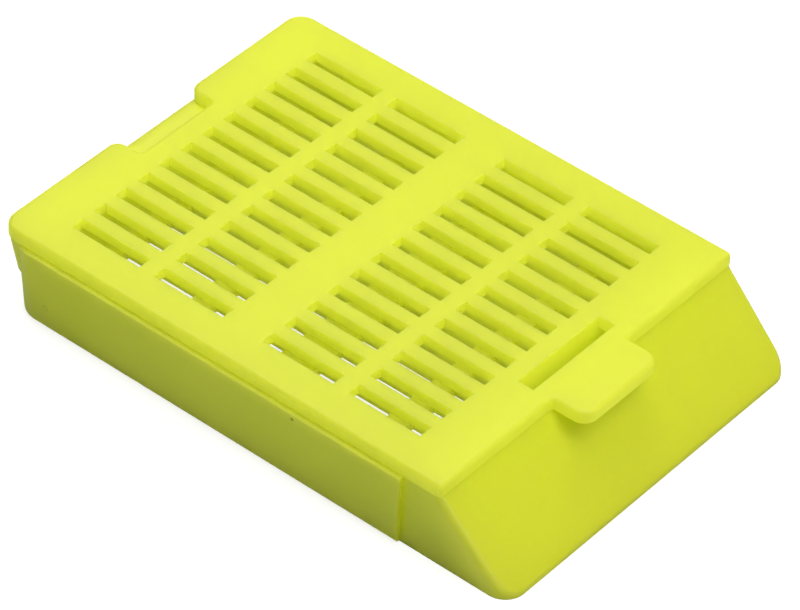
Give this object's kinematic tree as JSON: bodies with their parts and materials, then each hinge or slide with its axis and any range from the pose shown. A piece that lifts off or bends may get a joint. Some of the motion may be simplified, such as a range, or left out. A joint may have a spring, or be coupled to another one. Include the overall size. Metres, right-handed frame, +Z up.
{
  "type": "tissue cassette",
  "caption": "Slotted plastic histology box with a hinged slotted lid, front thumb tab and a sloped writing face.",
  "frame": {"origin": "on the rest face, under the middle of the closed cassette's bounding box", "axes": "+X from the hinged rear end towards the sloped writing face, +Y across the cassette, +Z up out of the lid"},
  "size_m": [0.0406, 0.0288, 0.0065],
  "materials": {
    "acetal_base": "fine satin moulded acetal, lime yellow",
    "acetal_lid": "fine satin moulded acetal, lime yellow"
  },
  "bodies": {
    "base": {"base": "acetal_base"},
    "lid": {"lid": "acetal_lid"}
  },
  "joints": [
    {"name": "lid_hinge", "type": "hinge", "parent": "base", "child": "lid", "pos_m": [-0.0194, 0, 0.0039], "axis": [0, -1, 0], "range_deg": [0, 120]}
  ]
}
